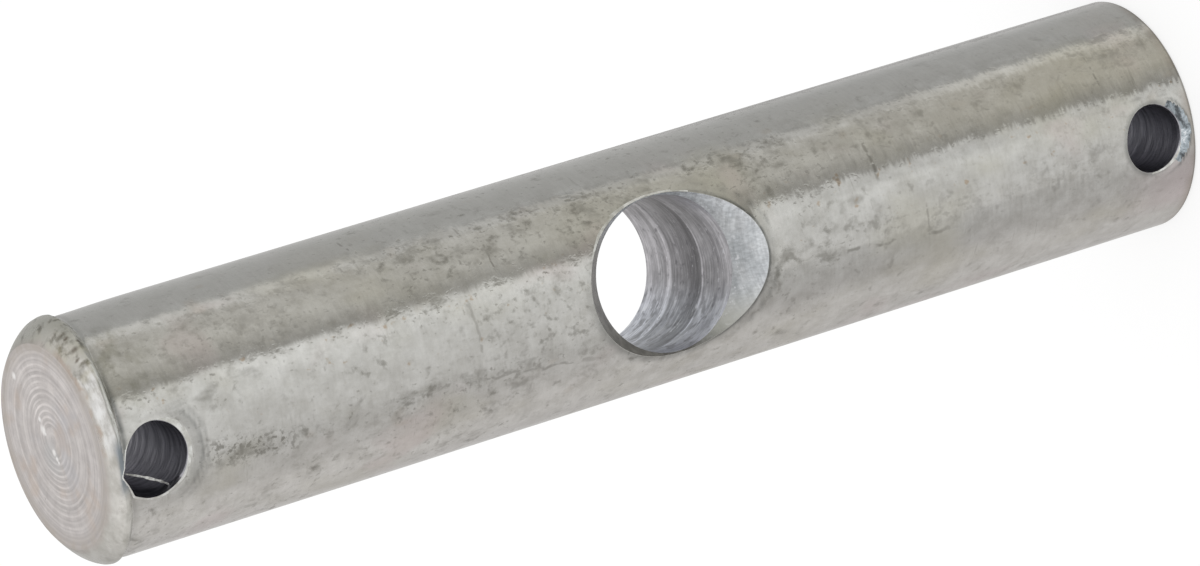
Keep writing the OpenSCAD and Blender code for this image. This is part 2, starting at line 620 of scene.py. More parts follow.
def add_sliver(sheet, hole):
    """A thin curved strip of metal that stands off the wall of the upper hole."""
    out, across = hole.axes()
    places = np.array(SLIVER)
    s = np.linspace(0.0, 1.0, SLIVER_RINGS)
    knots = np.linspace(0.0, 1.0, len(SLIVER))
    u, w, d = [np.interp(s, knots, places[:, k]) for k in range(3)]
    spine = across * u[:, None] + UP * (hole.z + w)[:, None] + out * d[:, None]
    run = np.gradient(spine, axis=0)
    run = run / np.linalg.norm(run, axis=1)[:, None]
    flat = np.cross(run, out)
    half = SLIVER_HALF * (0.45 + 0.55 * np.sin(math.pi * s))
    half = half * (1.0 + 0.25 * ripple(s, 61, 0.12, 0.4, 6))
    corners = [flat * half[:, None], out * SLIVER_OUT, -flat * half[:, None], -out * SLIVER_IN]
    rings = []
    for i in range(SLIVER_RINGS):
        points = [spine[i] + (c[i] if c.ndim == 2 else c) for c in corners]
        rings.append(sheet.add(points))
    for ring_a, ring_b in zip(rings, rings[1:]):
        sheet.band(ring_b, ring_a, SLOT["burr"])
    first, last = rings[0], rings[-1]
    sheet.quads(np.array([list(first), [last[3], last[2], last[1], last[0]]]), SLOT["burr"])


# The turned face: feed rings about a point a little off the bar's axis. Each mark has three
# rings of vertices, whose depths follow one another from the mark's crest to its valley.
RING_PITCH = 0.48
RING_CENTRE = (0.50, -0.10)
RING_DEPTHS = (0.0, 0.013, 0.020)


def add_turned_face(sheet, border):
    """Rings from the face's edge to the middle of the feed marks, three to each mark."""
    columns = np.radians(COLUMN_TURNS)
    # the marks are deepest above and below their middle
    uneven = 0.25 + 0.75 * np.cos(columns - math.pi / 2.0) ** 2
    rng = np.random.default_rng(41)
    ring = border
    count = int(FACE_R / (RING_PITCH / 3.0))
    for k in range(count - 1, 0, -1):
        r = k * RING_PITCH / 3.0
        off = 1.0 - smooth(r, 4.5, 8.3)
        deep = RING_DEPTHS[k % 3] * rng.uniform(0.5, 1.2) * smooth(FACE_R - r, 0.1, 0.9)
        deep = 0.9 * deep * uneven * smooth(r, 0.3, 2.4)
        wave = 0.003 * wander(np.degrees(columns), 50 + k // 3, 5, 2)
        x = r * np.sin(columns) + off * RING_CENTRE[0]
        y = -r * np.cos(columns) + off * RING_CENTRE[1]
        z = BAR_L - deep + np.minimum(wave, 0.0)
        new = sheet.add(np.stack([x, y, z], -1))
        sheet.band(ring, new, SLOT["turned_face"])
        ring = new
    sheet.close(ring, (RING_CENTRE[0], RING_CENTRE[1], BAR_L - 0.02), SLOT["turned_face"])


# Distance between the rings of the plain end
END_STEP = 0.8


def add_plain_end(sheet, border):
    """Rings from the plain end's broken edge to its middle."""
    turned = np.radians(COLUMN_TURNS)[::-1]
    ring = border
    for r in np.arange(BAR_R - EDGE_BREAK - END_STEP, 0.5, -END_STEP):
        points = np.stack([r * np.sin(turned), -r * np.cos(turned), np.zeros(COLUMNS)], -1)
        new = sheet.add(points)
        sheet.band(ring, new, SLOT["sawn_end"])
        ring = new
    sheet.close(ring, (0.0, 0.0, 0.0), SLOT["sawn_end"])


def build_mesh():
    """The shaft's mesh, with a finish for each face, and dirt and painted shade for each vertex."""
    sheet = Sheet()
    z_rows = rows_of_side()
    grid = add_side(sheet, z_rows)
    for name in HOLES:
        add_cross_hole(sheet, grid, z_rows, name)
    add_sliver(sheet, HOLES["upper"])
    add_turned_face(sheet, grid[:, -1])
    add_plain_end(sheet, grid[::-1, 0])
    points = np.concatenate(sheet.points) * MM
    faces = np.concatenate(sheet.faces)
    finish = np.concatenate(sheet.finish)
    mesh = bpy.data.meshes.new("shaft")
    mesh.from_pydata(points.tolist(), [], [[v for v in f if v >= 0] for f in faces.tolist()])
    soil = mesh.attributes.new("soil", "FLOAT", "POINT")
    soil.data.foreach_set("value", np.concatenate(sheet.soil).astype(np.float32))
    mesh.polygons.foreach_set("material_index", finish.astype(np.int32))
    mesh.polygons.foreach_set("use_smooth", np.ones(len(finish), bool))
    mesh.validate()
    mesh.update()
    mesh.set_sharp_from_angle(angle=math.radians(SHARP_DEG))
    return mesh


class Tree:
    """Short names for the nodes of one material or world."""

    def __init__(self, tree):
        self.nodes = tree.nodes
        self.links = tree.links

    def put(self, socket, value):
        """Links a node's output to a socket, or sets its number or colour."""
        if isinstance(value, bpy.types.NodeSocket):
            self.links.new(value, socket)
        elif isinstance(value, tuple) and len(value) == 3 and len(socket.default_value) == 4:
            socket.default_value = (*value, 1.0)
        else:
            socket.default_value = value

    def math(self, operation, *values):
        node = self.nodes.new("ShaderNodeMath")
        node.operation = operation
        for socket, value in zip(node.inputs, values):
            self.put(socket, value)
        return node.outputs[0]

    def add(self, a, b):
        return self.math("ADD", a, b)

    def sub(self, a, b):
        return self.math("SUBTRACT", a, b)

    def mul(self, a, b):
        return self.math("MULTIPLY", a, b)

    def apart(self, a, b):
        """How far two numbers are apart."""
        return self.math("ABSOLUTE", self.sub(a, b))

    def most(self, *values):
        """The largest of several values."""
        best = values[0]
        for value in values[1:]:
            best = self.math("MAXIMUM", best, value)
        return best

    def vector(self, operation, *values):
        node = self.nodes.new("ShaderNodeVectorMath")
        node.operation = operation
        for socket, value in zip(node.inputs, values):
            self.put(socket, value)
        number = operation in ("LENGTH", "DOT_PRODUCT", "DISTANCE")
        return node.outputs["Value"] if number else node.outputs[0]

    def scaled(self, vector, x, y, z):
        return self.vector("MULTIPLY", vector, (x, y, z))

    def longer(self, vector, factor):
        """Vector times one number, which may come from a node."""
        node = self.nodes.new("ShaderNodeVectorMath")
        node.operation = "SCALE"
        self.put(node.inputs[0], vector)
        self.put(node.inputs["Scale"], factor)
        return node.outputs[0]

    def split(self, vector):
        node = self.nodes.new("ShaderNodeSeparateXYZ")
        self.put(node.inputs[0], vector)
        return node.outputs[0], node.outputs[1], node.outputs[2]

    def joined(self, x, y, z):
        node = self.nodes.new("ShaderNodeCombineXYZ")
        for socket, value in zip(node.inputs, (x, y, z)):
            self.put(socket, value)
        return node.outputs[0]

    def noise(self, vector, detail=2.0, roughness=0.5, distortion=0.0):
        """Noise whose features are about one unit of the vector wide."""
        node = self.nodes.new("ShaderNodeTexNoise")
        self.put(node.inputs["Vector"], vector)
        node.inputs["Scale"].default_value = 1.0
        node.inputs["Detail"].default_value = detail
        node.inputs["Roughness"].default_value = roughness
        node.inputs["Distortion"].default_value = distortion
        return node.outputs["Fac"]

    def between(self, value, low, high, to_low=0.0, to_high=1.0):
        """Maps low..high to to_low..to_high with a smooth, clamped step."""
        node = self.nodes.new("ShaderNodeMapRange")
        node.interpolation_type = "SMOOTHSTEP"
        for socket, v in zip(node.inputs, (value, low, high, to_low, to_high)):
            self.put(socket, v)
        return node.outputs[0]

    def window(self, value, low, high, soft):
        """1 from low to high and 0 outside, with soft borders."""
        rise = self.between(value, low - soft, low + soft)
        fall = self.between(value, high - soft, high + soft, 1.0, 0.0)
        return self.mul(rise, fall)

    def mixed(self, factor, a, b, blend="MIX"):
        """Colour a at factor 0, and colour b blended with it at factor 1."""
        node = self.nodes.new("ShaderNodeMix")
        node.data_type = "RGBA"
        node.blend_type = blend
        self.put(node.inputs["Factor"], factor)
        # of the sockets named A and B, numbers 6 and 7 are the colours
        self.put(node.inputs[6], a)
        self.put(node.inputs[7], b)
        return node.outputs[2]

    def ramp(self, value, stops):
        """Colours between stops, each a place from 0 to 1 and its colour."""
        node = self.nodes.new("ShaderNodeValToRGB")
        elements = node.color_ramp.elements
        while len(elements) < len(stops):
            elements.new(0.5)
        for element, (place, colour) in zip(elements, stops):
            element.position = place
            element.color = (*colour, 1.0)
        self.put(node.inputs[0], value)
        return node.outputs[0]

    def bump(self, height, distance, normal=None):
        """A normal tilted by a height, of which 1 stands for the distance in metres."""
        node = self.nodes.new("ShaderNodeBump")
        node.inputs["Distance"].default_value = distance
        self.put(node.inputs["Height"], height)
        if normal is not None:
            self.put(node.inputs["Normal"], normal)
        return node.outputs[0]


class Steel(Tree):
    """A bare metal material, t in the functions below.

    x, y, z and mm are places on the piece in millimetres.
    """

    def __init__(self, name):
        self.material = bpy.data.materials.new(name)
        self.material.use_nodes = True
        super().__init__(self.material.node_tree)
        self.shader = self.nodes["Principled BSDF"]
        self.shader.inputs["Metallic"].default_value = 1.0
        place = self.nodes.new("ShaderNodeTexCoord").outputs["Object"]
        self.mm = self.scaled(place, 1.0 / MM, 1.0 / MM, 1.0 / MM)
        self.x, self.y, self.z = self.split(self.mm)

    def soil(self):
        """The dirt and painted shade stored on the mesh."""
        node = self.nodes.new("ShaderNodeAttribute")
        node.attribute_name = "soil"
        return node.outputs["Fac"]

    def turn(self):
        """Turn about the bar in degrees, 0 at the middle bore's front."""
        return self.mul(self.math("ARCTAN2", self.x, self.mul(self.y, -1.0)), 180.0 / math.pi)

    def grain(self, round_bar, along, detail=2.0, roughness=0.5, distortion=0.0):
        """Noise with its own scale across the bar and along it, in features a millimetre."""
        stretched = self.scaled(self.mm, round_bar, round_bar, along)
        return self.noise(stretched, detail, roughness, distortion)

    def scaled_grain(self, scales, shift):
        """Noise with three scales, moved away from the other noises by shift."""
        moved = self.vector("ADD", self.scaled(self.mm, *scales), (shift, shift, shift))
        return self.noise(moved)

    def swing(self, noise, size):
        """Noise as a swing about 0, size from its lowest to its highest."""
        return self.mul(self.sub(noise, 0.5), size)

    def tint(self, colour, factor, other):
        """Colour, with another one laid over it as strongly as the factor says."""
        return self.mixed(factor, colour, other)

    def shade(self, colour, factor):
        """Colour times a number."""
        grey = self.joined(factor, factor, factor)
        return self.mixed(1.0, colour, grey, "MULTIPLY")

    def haired_normal(self, turn_hair, tilt_hair):
        """The normal, turned about the bar's axis and tilted along it by two numbers."""
        normal = self.nodes.new("ShaderNodeNewGeometry").outputs["Normal"]
        radial = self.vector("NORMALIZE", self.joined(self.x, self.y, 0.0))
        round_bar = self.vector("CROSS_PRODUCT", (0.0, 0.0, 1.0), radial)
        moved = self.vector("ADD", normal, self.longer(round_bar, turn_hair))
        moved = self.vector("ADD", moved, self.joined(0.0, 0.0, tilt_hair))
        return self.vector("NORMALIZE", moved)

    def finish(self, colour, roughness, normal=None):
        """Sets the shader's sockets and gives the material."""
        self.put(self.shader.inputs["Base Color"], colour)
        self.put(self.shader.inputs["Roughness"], roughness)
        if normal is not None:
            self.put(self.shader.inputs["Normal"], normal)
        return self.material


# Scratches that run round the bar: height, first and last turn, half width and strength
SCRATCHES = [
    (68.5, 21.0, 47.0, 0.13, 0.8),
    (71.9, -8.0, 19.0, 0.22, 0.5),
    (78.8, 62.0, 73.0, 0.16, 0.7),
    (69.7, 50.0, 57.0, 0.14, 0.6),
    (31.8, 15.0, 36.0, 0.26, 0.8),
    (8.0, 27.0, 45.0, 0.14, 0.6),
    (28.0, -16.0, -3.0, 0.18, 0.6),
    (46.2, -30.0, -12.0, 0.14, 0.6),
    (90.5, 128.0, 160.0, 0.15, 0.7),
    (24.0, 190.0, 214.0, 0.18, 0.6),
]


def scratches(t, turn, z):
    """Mask of the scratches, broken here and there."""
    drift = t.swing(t.grain(0.35, 0.0), 0.9)
    level = t.add(z, drift)
    total = 0.0
    for height, first, last, width, tone in SCRATCHES:
        if last > 180.0:
            first, last = first - 360.0, last - 360.0
        off = t.apart(level, height)
        line = t.between(off, 0.2 * width, width, tone, 0.0)
        total = t.most(total, t.mul(line, t.window(turn, first, last, 1.5)))
    gaps = t.between(t.grain(1.6, 1.6), 0.40, 0.52)
    return t.mul(total, gaps)


def pit_level(t, turn, z):
    """How many pits there are: most in clusters, on the upper side and in a belt lower down."""
    cluster = t.between(t.grain(0.17, 0.13, 3.0, 0.6), 0.42, 0.66)
    sway = t.swing(t.grain(0.0, 0.06, 1.0), 12.0)
    middle = t.add(t.between(z, 36.0, 62.0, -9.0, -19.0), sway)
    off = t.apart(turn, middle)
    belt = t.between(off, 1.0, t.between(z, 36.0, 62.0, 15.0, 7.0), 1.0, 0.0)
    belt = t.mul(belt, t.between(z, 84.0, 92.0, 1.0, 1.5))
    upper = t.between(t.apart(turn, 44.0), 3.0, 15.0, 0.60, 0.0)
    patchy = t.between(cluster, 0.0, 0.5, 0.30, 0.90)
    patchy = t.most(patchy, t.mul(t.window(z, 87.0, 97.0, 2.0), 0.9))
    bands = t.mul(t.most(belt, upper), patchy)
    dense = t.add(t.mul(cluster, 0.55), bands)
    return t.mul(t.mul(dense, t.between(turn, 52.0, 66.0, 1.0, 0.15)), 0.11)


def pit_patches(t, turn, z):
    """A dense patch of dots beside the upper hole, and a thin one beside the middle bore."""
    middle = t.math("MULTIPLY_ADD", z, 0.80, -92.6)
    patch = t.between(t.apart(turn, middle), 3.0, 8.5, 1.0, 0.0)
    patch = t.mul(patch, t.window(z, 89.5, 97.6, 1.2))
    patch = t.mul(patch, t.between(t.grain(2.3, 2.0, 2.0, 0.55), 0.490, 0.610))
    thin = t.mul(t.window(turn, -16.0, 15.0, 5.0), t.window(z, 60.0, 71.0, 2.5))
    dots = t.between(t.scaled_grain((1.6, 1.6, 1.4), 31.0), 0.53, 0.76, 0.0, 0.8)
    return t.most(patch, t.mul(thin, dots))


def pits(t, turn, z):
    """Mask of dark pits and soft blotches in three sizes."""
    level = pit_level(t, turn, z)
    fine = t.add(t.grain(2.7, 2.2), t.sub(level, t.between(turn, 10.0, 20.0, 0.020, 0.0)))
    coarse = t.add(t.grain(0.95, 0.85, 3.0, 0.56, 0.2), level)
    blotch = t.add(t.grain(0.55, 0.42, 3.0, 0.62, 0.3), level)
    spots = t.most(
        t.between(fine, 0.615, 0.800, 0.0, t.between(z, 0.0, 40.0, 0.45, 0.70)),
        t.between(coarse, 0.585, 0.820, 0.0, 0.95),
        t.between(blotch, 0.580, 0.850, 0.0, 0.85),
    )
    # fainter on the upper side near the lip and on the lower front near the plain end
    above = t.between(t.window(z, 38.0, 80.0, 6.0), 0.0, 1.0, 0.62, 1.0)
    below = t.between(z, 26.0, 46.0, 0.62, 1.0)
    spots = t.mul(spots, t.between(turn, 14.0, 26.0, below, above))
    return t.most(spots, pit_patches(t, turn, z))


def seams(t, turn, z):
    """Mask of two thin broken lines that run along the lower front, one on each half."""
    wobble = t.swing(t.grain(0.5, 0.45, 3.0), 8.0)
    middle = t.math("MINIMUM", t.sub(t.mul(z, 0.695), 70.2), -17.2)
    off = t.apart(turn, t.add(middle, wobble))
    near = t.mul(t.between(off, 0.3, 1.6, 0.45, 0.0), t.window(z, 61.0, 80.0, 3.0))
    middle = t.math("MULTIPLY_ADD", z, 0.447, -29.7)
    off = t.apart(turn, t.add(middle, wobble))
    far = t.mul(t.between(off, 0.3, 1.5, 0.55, 0.0), t.window(z, 26.0, 41.0, 2.0))
    return t.mul(t.most(near, far), t.between(t.grain(1.1, 0.9), 0.40, 0.56))


def bar_metal(t, hair, even):
    """Plain mottled tone of the drawn bar, with hairs round it, and painted shade towards the plain end.
    """
    mottle = t.add(t.swing(t.grain(0.55, 0.45, 5.0, 0.7), even), 0.5)
    base = t.mixed(t.between(mottle, 0.3, 0.7), (0.460, 0.455, 0.435), (0.580, 0.578, 0.563))
    base = t.shade(base, t.between(hair, 0.30, 0.70, 0.975, 1.025))
    # painted shade: darker towards the plain end, lighter towards the lip
    return t.shade(base, t.between(t.z, 5.0, 100.0, 0.970, 1.015))


def bar_painted_bands(t, turn, base):
    """Painted light and shade: wide paler and duller bands that run along the bar."""
    # painted light: a paler low side towards the lip
    low_side = t.mul(t.between(turn, -32.0, -48.0, 0.0, 0.07), t.between(t.z, 60.0, 90.0))
    base = t.shade(base, t.add(1.0, low_side))
    # painted shade: a duller belt along the lower front of the far half, and painted light: a paler side
    # below it
    belt = t.mul(t.between(turn, -11.8, -13.8), t.between(turn, -38.0, -28.0))
    belt = t.mul(belt, t.between(t.z, 46.0, 58.0, 1.0, 0.0))
    base = t.shade(base, t.sub(1.0, t.mul(belt, t.between(t.z, 8.0, 30.0, 0.06, 0.12))))
    base = t.shade(base, t.between(turn, -32.0, -42.0, 1.0, 1.05))
    # painted shade: dimmer above the pale front and on the top of the far half
    dim_shade = t.most(t.mul(t.window(turn, 13.5, 20.5, 2.5), 0.18), t.between(turn, 66.0, 80.0, 0.0, 0.12))
    return t.shade(base, t.sub(1.0, t.mul(dim_shade, t.between(t.z, 30.0, 52.0, 1.0, 0.0))))


def bar_stains(t, turn, base, wide, even):
    """Yellowish, brown and rosy clouds, and olive above the middle bore."""
    cloud = t.mul(t.between(wide, 0.50, 0.70, 0.0, 0.40), even)
    base = t.tint(base, cloud, (0.47, 0.455, 0.375))
    brown = t.between(t.grain(0.3, 0.2), 0.66, 0.76, 0.0, 0.30)
    base = t.tint(base, brown, (0.42, 0.36, 0.29))
    rosy = t.mul(t.between(t.grain(0.16, 0.12, 2.0, 0.5, 0.3), 0.58, 0.75, 0.0, 0.40), even)
    base = t.tint(base, rosy, (0.57, 0.50, 0.50))
    olive = t.mul(t.window(turn, 24.0, 52.0, 6.0), t.window(t.z, 44.0, 63.0, 5.0))
    return t.tint(base, t.mul(olive, 0.30), (0.475, 0.46, 0.375))


def bar_painted_line(t, turn, base):
    """A painted line on the upper side: pale as a painted highlight at the plain end and dull as painted
    shade in the middle.
    """
    off = t.apart(turn, t.between(t.z, 44.0, 62.0, 51.5, 54.5))
    ridge = t.between(off, 2.0, 5.0, 1.0, 0.0)
    fading = t.between(t.grain(1.6, 3.0, 3.0, 0.6), 0.36, 0.60)
    # painted highlight along the line towards the plain end, broken up by noise
    ridge_highlight = t.mul(t.mul(ridge, t.between(t.z, 22.0, 10.0)), fading)
    base = t.shade(base, t.add(1.0, t.mul(ridge_highlight, 0.10)))
    # painted shade along the line in the middle of the bar
    dull = t.mul(t.between(t.z, 14.0, 34.0, 0.0, 0.17), t.between(t.z, 76.0, 84.0, 1.0, 0.0))
    return t.shade(base, t.sub(1.0, t.mul(ridge, dull)))


def bar_tints(t, turn, base):
    """Brown dots on the pale front, and yellowish and pinkish places at the plain end."""
    rusty = t.between(t.scaled_grain((1.2, 1.2, 1.0), 23.0), 0.66, 0.76)
    rusty = t.mul(rusty, t.window(turn, -4.0, 26.0, 4.0))
    base = t.tint(base, t.mul(rusty, 0.6), (0.33, 0.24, 0.15))
    yellow = t.mul(t.window(turn, 24.0, 52.0, 6.0), t.between(t.z, 6.0, 40.0, 0.32, 0.0))
    base = t.tint(base, yellow, (0.475, 0.445, 0.345))
    pink = t.mul(t.window(turn, -48.0, -18.0, 8.0), t.between(t.z, 1.0, 9.0, 0.6, 0.0))
    return t.tint(base, pink, (0.50, 0.440, 0.450))


def bar_dirt(t, turn, base):
    """Dull patches, dirt next to the lip and the brown edge of the plain end."""
    places = t.between(t.grain(0.16, 0.12, 3.0, 0.6), 0.40, 0.62)
    dull = t.mul(t.between(t.grain(0.8, 0.7, 4.0, 0.65), 0.48, 0.72), places)
    dull = t.mul(dull, t.between(turn, 52.0, 62.0, 0.36, 0.05))
    base = t.tint(base, dull, (0.30, 0.29, 0.26))
    dirty = t.mul(t.window(turn, 18.0, 62.0, 8.0), t.between(t.z, 97.0, 104.0))
    dirty = t.mul(dirty, t.between(t.grain(0.6, 0.8, 4.0, 0.62), 0.44, 0.66, 0.1, 0.62))
    base = t.tint(base, dirty, (0.27, 0.265, 0.215))
    patchy = t.between(t.grain(0.4, 0.4), 0.35, 0.6, 0.15, 0.6)
    base = t.tint(base, t.mul(t.between(t.z, 0.2, 1.3, 1.0, 0.0), patchy), (0.34, 0.30, 0.27))
    return t.tint(base, t.between(t.z, 0.15, 0.42, 0.75, 0.0), (0.16, 0.145, 0.12))


def bar_marks(t, turn, base, marks, lines):
    """Pits, scratches, seams and dark streaks, and the dirt and painted shade stored on the mesh."""
    streak = t.between(t.grain(0.30, 2.4, 3.0, 0.6), 0.60, 0.76, 0.0, 0.26)
    streak = t.mul(streak, t.between(t.grain(0.12, 0.1), 0.45, 0.60))
    dark = t.most(t.mul(marks, 0.66), t.mul(lines, 0.66), seams(t, turn, t.z), streak)
    base = t.tint(base, dark, (0.150, 0.143, 0.122))
    # dirt and painted shade stored on the mesh: painted shade in the groove behind the lip and round the
    # mouths
    soil = t.mul(t.soil(), t.between(t.grain(1.2, 1.2, 3.0, 0.6), 0.25, 0.65, 0.65, 1.0))
    return t.tint(base, soil, (0.150, 0.155, 0.150))


def bar_normal(t, turn, hair, smooth_side):
    """The bar's normal, turned so that the reflections have the photograph's borders."""
    sway = t.swing(t.grain(0.05, 0.06), 0.08)
    steps = t.swing(t.grain(0.25, 0.45, 3.0, 0.6), 0.10)
    # the photographed studio's walls stood close by, so its bands drift round the bar along it
    near = t.between(t.z, 15.0, 95.0, 0.082, -0.004)
    near = t.mul(near, t.between(turn, 26.0, 44.0, 0.62, 1.0))
    turned = t.swing(hair, t.between(t.z, 10.0, 80.0, 0.17, 0.085))
    turned = t.mul(t.add(turned, steps), t.between(smooth_side, 0.0, 1.0, 1.0, 0.35))
    tilted = t.swing(t.grain(1.3, 4.0), t.between(smooth_side, 0.0, 1.0, 0.12, 0.04))
    return t.haired_normal(t.add(turned, t.add(sway, near)), tilted)


def drawn_bar():
    """Side of the bar: zinc plated drawn steel with hairs round it, pits, scratches and stains."""
    t = Steel("drawn_bar")
    turn = t.turn()
    marks = pits(t, turn, t.z)
    lines = scratches(t, turn, t.z)
    wide = t.grain(0.12, 0.07, 3.0, 0.55)
    hair = t.grain(0.50, 3.4, 3.0, 0.6)
    # the upper side is plainer than the front
    smooth_side = t.window(turn, 61.0, 94.0, 5.0)
    even = t.between(smooth_side, 0.0, 1.0, 1.0, 0.25)
    base = bar_metal(t, hair, even)
    base = bar_painted_bands(t, turn, base)
    base = bar_stains(t, turn, base, wide, even)
    base = bar_painted_line(t, turn, base)
    base = bar_tints(t, turn, base)
    base = bar_dirt(t, turn, base)
    base = bar_marks(t, turn, base, marks, lines)
    rough = t.between(t.z, 4.0, 40.0, 0.105, 0.130)
    rough = t.add(rough, t.between(wide, 0.35, 0.65, -0.02, 0.03))
    rough = t.add(rough, t.mul(marks, 0.20))
    height = t.mul(t.most(marks, t.mul(lines, 0.8)), -1.0)
    return t.finish(base, rough, t.bump(height, 0.014 * MM, bar_normal(t, turn, hair, smooth_side)))


# Dark spots on the upper side of the lip: turn, height and size in millimetres
LIP_SPOTS = [(53.0, 105.10, 0.42), (56.5, 104.45, 0.30), (47.5, 105.35, 0.25), (62.0, 105.0, 0.28)]


def lip_front(t, turn, place, base, crease, mottle):
    """Painted highlights as two white streaks with a painted shade line between them, and a bluish part
    with painted shade beside the hole.
    """
    # painted highlights: two white streaks along the lip's crest
    streaks = t.most(t.window(place, 0.12, 0.56, 0.06), t.mul(t.window(place, 0.70, 0.93, 0.05), 0.8))
    streaks = t.mul(streaks, t.window(turn, 1.0, 44.0, 7.0))
    broken = t.between(t.add(t.mul(crease, 0.5), t.mul(mottle, 0.5)), 0.40, 0.58, 0.15, 0.9)
    base = t.tint(base, t.mul(streaks, broken), (0.79, 0.81, 0.805))
    # painted shade: a dark line between the white streaks
    line = t.mul(t.window(place, 0.60, 0.66, 0.04), t.window(turn, -2.0, 34.0, 6.0))
    base = t.tint(base, t.mul(line, 0.6), (0.24, 0.25, 0.24))
    # bluish tone and painted shade of the flattened dent beside the upper hole
    bluish = t.mul(t.window(turn, -20.0, 3.0, 5.0), t.between(place, 0.25, 0.55))
    return t.tint(base, t.mul(bluish, 0.90), (0.23, 0.265, 0.30))


def lip_upper(t, turn, base, mottle, grime):
    """The lip's upper side: olive, with dark spots."""
    upper = t.between(turn, 34.0, 56.0, 0.0, 0.85)
    base = t.tint(base, t.mul(upper, t.between(mottle, 0.40, 0.62, 0.35, 0.9)), (0.48, 0.47, 0.41))
    base = t.tint(base, t.mul(grime, t.between(turn, 28.0, 44.0, 0.15, 0.90)), (0.16, 0.15, 0.12))
    for spot_turn, spot_z, size in LIP_SPOTS:
        across = t.mul(t.sub(turn, spot_turn), BAR_R * math.pi / 180.0)
        ragged = t.swing(mottle, 0.8)
        away = t.vector("LENGTH", t.joined(across, t.sub(t.z, spot_z), ragged))
        base = t.tint(base, t.between(away, 0.2 * size, size, 0.85, 0.0), (0.15, 0.13, 0.105))
    moss = t.mul(t.window(turn, 30.0, 62.0, 6.0), t.between(t.grain(0.45, 0.5), 0.40, 0.60))
    return t.tint(base, t.mul(moss, 0.40), (0.50, 0.47, 0.34))


def lip():
    """The upset lip: pale steel with painted highlights as white streaks on its front, dull olive on its
    upper side.
    """
    t = Steel("lip")
    turn = t.turn()
    down = t.sub(BAR_L, t.z)
    # place on the lip: 0 at the turned face, 1 at the groove
    foot = t.sub(LIP_DOWN, t.mul(t.math("COSINE", t.math("RADIANS", turn)), LIP_DOWN_FRONT))
    place = t.add(t.math("DIVIDE", down, foot), t.swing(t.grain(0.5, 0.5), 0.25))
    crease = t.grain(0.20, 4.2, 4.0, 0.62)
    wide = t.grain(0.35, 0.9, 3.0, 0.6)
    mottle = t.grain(0.7, 0.9, 4.0, 0.62)
    grime = t.between(t.grain(0.75, 0.95, 3.0, 0.6), 0.47, 0.72)
    front = t.window(turn, -6.0, 48.0, 10.0)
    base = t.mixed(t.between(mottle, 0.34, 0.66), (0.50, 0.498, 0.465), (0.62, 0.62, 0.59))
    # painted light and shade of the creases on the lip's front
    base = t.mixed(front, base, t.shade(base, t.between(crease, 0.34, 0.66, 0.84, 1.15)))
    low = t.mul(t.window(turn, -50.0, -20.0, 8.0), t.window(place, 0.2, 0.9, 0.1))
    base = t.tint(base, t.mul(low, t.between(mottle, 0.35, 0.6, 0.15, 0.5)), (0.72, 0.72, 0.685))
    base = t.tint(base, t.between(wide, 0.50, 0.75, 0.0, 0.45), (0.37, 0.365, 0.33))
    base = lip_front(t, turn, place, base, crease, mottle)
    base = lip_upper(t, turn, base, mottle, grime)
    rust = t.mul(t.window(turn, -4.0, 62.0, 7.0), t.between(place, 0.02, 0.16, 1.0, 0.0))
    rust = t.mul(rust, t.between(t.grain(0.9, 1.2, 3.0), 0.40, 0.60))
    base = t.tint(base, t.mul(rust, 0.80), (0.40, 0.28, 0.19))
    # the border of the face has the face's own dull pink
    base = t.tint(base, t.between(place, 0.0, 0.14, 0.7, 0.0), (0.46, 0.43, 0.40))
    # painted shade in the groove behind the lip, with the dirt stored on the mesh
    base = t.tint(base, t.soil(), (0.14, 0.145, 0.135))
    normal = t.haired_normal(0.0, t.swing(crease, t.mul(front, 0.24)))
    height = t.sub(t.mul(mottle, 2.0), grime)
    return t.finish(base, t.between(wide, 0.3, 0.7, 0.26, 0.38), t.bump(height, 0.03 * MM, normal))


# Painted highlights on the turned face, as bright spots: x, y and size in millimetres
PAINTED_GLINTS = [
    (2.20, 1.38, 0.34), (1.32, 1.18, 0.60), (1.05, 0.95, 0.28), (-0.50, 0.14, 0.44), (-1.02, -0.12, 0.32),
    (-1.30, -0.30, 0.22), (5.69, 4.30, 0.46),
]


def ring_strength(t, radius):
    """How strongly the feed rings are painted as highlights and shade: most above and below their middle,
    least at the rim.
    """
    inner = t.between(radius, 5.0, 7.8, 1.0, 0.25)
    clear = t.mul(inner, t.between(t.grain(0.25, 0.25), 0.35, 0.60, 0.25, 1.0))
    # the painted rings fade at the sides of the face, as the highlight of turned rings does
    rise = t.math("DIVIDE", t.apart(t.x, RING_CENTRE[0]), t.most(radius, 0.1))
    clear = t.mul(clear, t.between(rise, 0.40, 0.92, 0.14, 1.15))
    return t.mul(clear, t.between(radius, 0.9, 2.6, 0.25, 1.0))


def face_spots(t, base, flat_place):
    """The dull middle of the turned face, its painted highlights as bright spots, dark specks and brown
    border.
    """
    middle = t.vector("DISTANCE", flat_place, (-0.9, 0.6, 0.0))
    base = t.tint(base, t.between(middle, 0.6, 2.2, 0.5, 0.0), (0.50, 0.515, 0.52))
    painted_glints = 0.0
    for x, y, size in PAINTED_GLINTS:
        away = t.vector("DISTANCE", flat_place, (x, y, 0.0))
        painted_glints = t.most(painted_glints, t.between(away, 0.2 * size, size, 1.0, 0.0))
    # painted highlights: nearly white spots near the middle of the face
    base = t.tint(base, t.mul(painted_glints, 0.9), (0.98, 0.98, 0.97))
    specks = t.between(t.grain(1.7, 1.7, 3.0, 0.6), 0.68, 0.78)
    base = t.tint(base, t.mul(specks, 0.5), (0.25, 0.22, 0.20))
    border = t.between(t.vector("LENGTH", flat_place), 7.0, 8.3)
    brown = t.mul(border, t.between(t.grain(0.8, 0.8, 3.0, 0.6), 0.35, 0.62, 0.25, 0.8))
    return t.tint(base, brown, (0.46, 0.425, 0.385))


